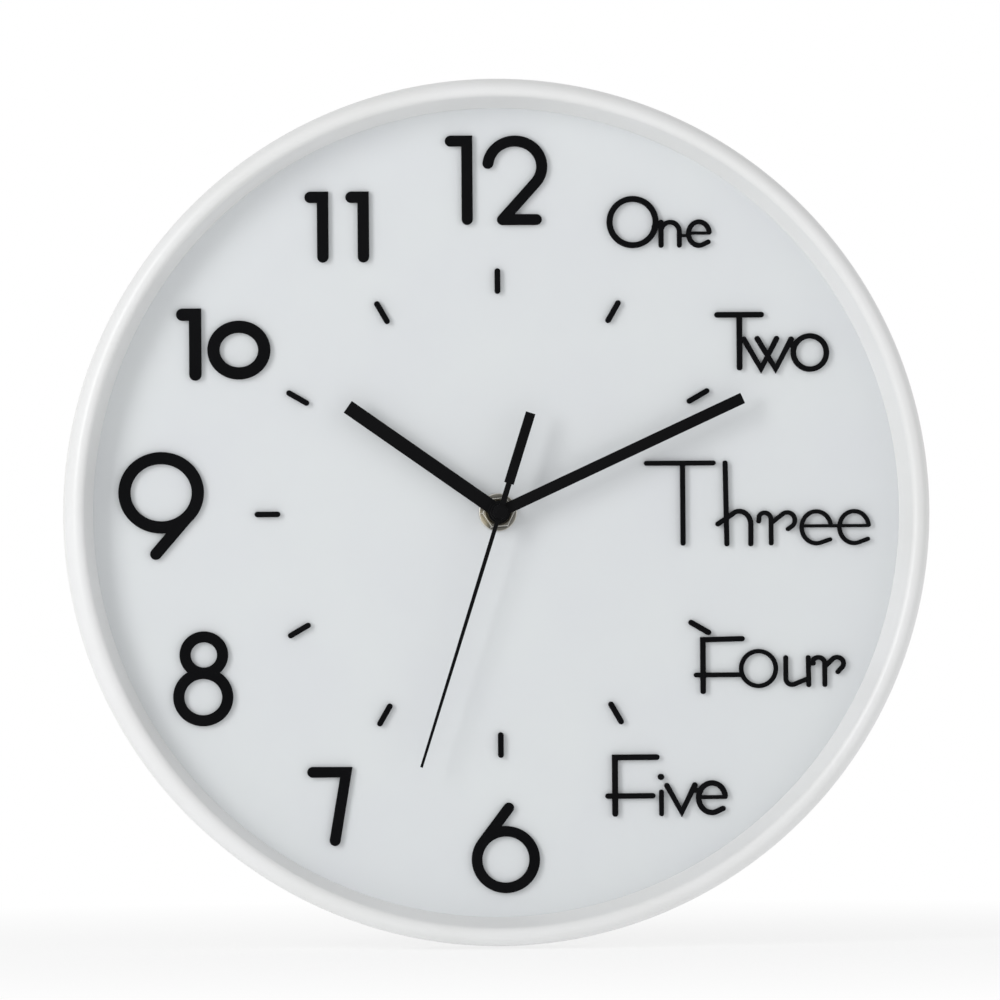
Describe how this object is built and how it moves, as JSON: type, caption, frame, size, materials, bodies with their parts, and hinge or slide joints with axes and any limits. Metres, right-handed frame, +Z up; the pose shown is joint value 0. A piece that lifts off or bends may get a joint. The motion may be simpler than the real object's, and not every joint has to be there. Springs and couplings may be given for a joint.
{
  "type": "wall clock",
  "caption": "Round analogue wall clock with a rolled white rim, raised black numerals and hour words, three hands and a quartz movement with its gear train.",
  "frame": {"origin": "on the hands' axis at the middle of the case's depth", "axes": "+Z up the hanging clock towards 12, +X towards 3 as seen from the front, +Y from the dial into the wall"},
  "size_m": [0.305, 0.038, 0.305],
  "materials": {
    "rim_plastic": "white, satin gloss",
    "shell_plastic": "white, satin gloss",
    "dial_paint": "matt cool white",
    "screw_steel": "zinc plated",
    "movement_plastic": "black, matt",
    "cell_sleeve": "plain printed sleeve, satin",
    "contact_nickel": "nickel plated",
    "board_laminate": "green solder resist",
    "stator_steel": "stamped sheet",
    "coil_copper": "enamelled copper wire",
    "rotor_magnet": "sintered, dark grey",
    "gear_plastic": "natural ivory",
    "gear_brass": "bright",
    "knob_plastic": "red, matt",
    "bushing_brass": "threaded, bright",
    "nut_nickel": "nickel plated, satin",
    "hand_paint": "black, satin",
    "lettering_plastic": "black, satin gloss"
  },
  "bodies": {
    "case": {"front_rim": "rim_plastic", "dial_plate": "dial_paint", "rear_case": "shell_plastic", "case_screw_1": "screw_steel", "case_screw_2": "screw_steel", "case_screw_3": "screw_steel", "movement_front_case": "movement_plastic", "movement_rear_cover": "movement_plastic", "battery": "cell_sleeve", "positive_contact": "contact_nickel", "negative_contact": "contact_nickel", "circuit_board": "board_laminate", "stator": "stator_steel", "coil": "coil_copper", "threaded_bushing": "bushing_brass", "fixing_nut": "nut_nickel", "numeral_12_one": "lettering_plastic", "numeral_12_two": "lettering_plastic", "numeral_11_left": "lettering_plastic", "numeral_11_right": "lettering_plastic", "numeral_10_one": "lettering_plastic", "numeral_10_zero": "lettering_plastic", "numeral_9": "lettering_plastic", "numeral_8": "lettering_plastic", "numeral_7": "lettering_plastic", "numeral_6": "lettering_plastic", "word_one": "lettering_plastic", "word_two": "lettering_plastic", "word_three_t": "lettering_plastic", "word_three_hr": "lettering_plastic", "word_three_ee": "lettering_plastic", "word_four_fo": "lettering_plastic", "word_four_ur": "lettering_plastic", "word_five_f": "lettering_plastic", "word_five_i_stem": "lettering_plastic", "word_five_i_dot": "lettering_plastic", "word_five_ve": "lettering_plastic", "hour_bar_01": "lettering_plastic", "hour_bar_02": "lettering_plastic", "hour_bar_04": "lettering_plastic", "hour_bar_05": "lettering_plastic", "hour_bar_06": "lettering_plastic", "hour_bar_07": "lettering_plastic", "hour_bar_08": "lettering_plastic", "hour_bar_09": "lettering_plastic", "hour_bar_10": "lettering_plastic", "hour_bar_11": "lettering_plastic", "hour_bar_12": "lettering_plastic"},
    "second_arbor": {"second_wheel": "gear_plastic", "second_hand": "hand_paint"},
    "minute_arbor": {"cannon_pinion": "gear_brass", "minute_hand": "hand_paint"},
    "hour_arbor": {"hour_wheel": "gear_plastic", "hour_hand": "hand_paint"},
    "rotor_arbor": {"rotor": "rotor_magnet"},
    "fifth_arbor": {"fifth_wheel": "gear_plastic"},
    "third_arbor": {"third_wheel": "gear_plastic"},
    "centre_arbor": {"centre_wheel": "gear_brass"},
    "minute_wheel_arbor": {"minute_wheel": "gear_plastic"},
    "knob_arbor": {"setting_knob": "knob_plastic"}
  },
  "joints": [
    {"name": "second_spin", "type": "hinge", "parent": "case", "child": "second_arbor", "pos_m": [0, 0, 0], "axis": [0, 1, 0], "continuous": true},
    {"name": "rotor_spin", "type": "hinge", "parent": "case", "child": "rotor_arbor", "pos_m": [0.01106, 0, 0.01216], "axis": [0, 1, 0], "continuous": true},
    {"name": "fifth_spin", "type": "hinge", "parent": "case", "child": "fifth_arbor", "pos_m": [0.005, 0, 0.00866], "axis": [0, 1, 0], "continuous": true},
    {"name": "third_spin", "type": "hinge", "parent": "case", "child": "third_arbor", "pos_m": [-0.00866, 0, 0.005], "axis": [0, 1, 0], "continuous": true},
    {"name": "centre_spin", "type": "hinge", "parent": "case", "child": "centre_arbor", "pos_m": [0, 0, 0], "axis": [0, 1, 0], "continuous": true},
    {"name": "minute_spin", "type": "hinge", "parent": "case", "child": "minute_arbor", "pos_m": [0, 0, 0], "axis": [0, 1, 0], "continuous": true},
    {"name": "minute_wheel_spin", "type": "hinge", "parent": "case", "child": "minute_wheel_arbor", "pos_m": [-0.00634, 0, -0.00296], "axis": [0, 1, 0], "continuous": true},
    {"name": "hour_spin", "type": "hinge", "parent": "case", "child": "hour_arbor", "pos_m": [0, 0, 0], "axis": [0, 1, 0], "continuous": true},
    {"name": "knob_spin", "type": "hinge", "parent": "case", "child": "knob_arbor", "pos_m": [-0.01269, 0, -0.00592], "axis": [0, 1, 0], "continuous": true}
  ],
  "couplings": [
    {"joint": "rotor_spin", "follows": "second_spin", "ratio": 30},
    {"joint": "fifth_spin", "follows": "second_spin", "ratio": -5},
    {"joint": "third_spin", "follows": "second_spin", "ratio": -0.13333},
    {"joint": "centre_spin", "follows": "second_spin", "ratio": 0.016667},
    {"joint": "minute_wheel_spin", "follows": "minute_spin", "ratio": -0.33333},
    {"joint": "hour_spin", "follows": "minute_spin", "ratio": 0.083333},
    {"joint": "knob_spin", "follows": "minute_spin", "ratio": 1}
  ]
}
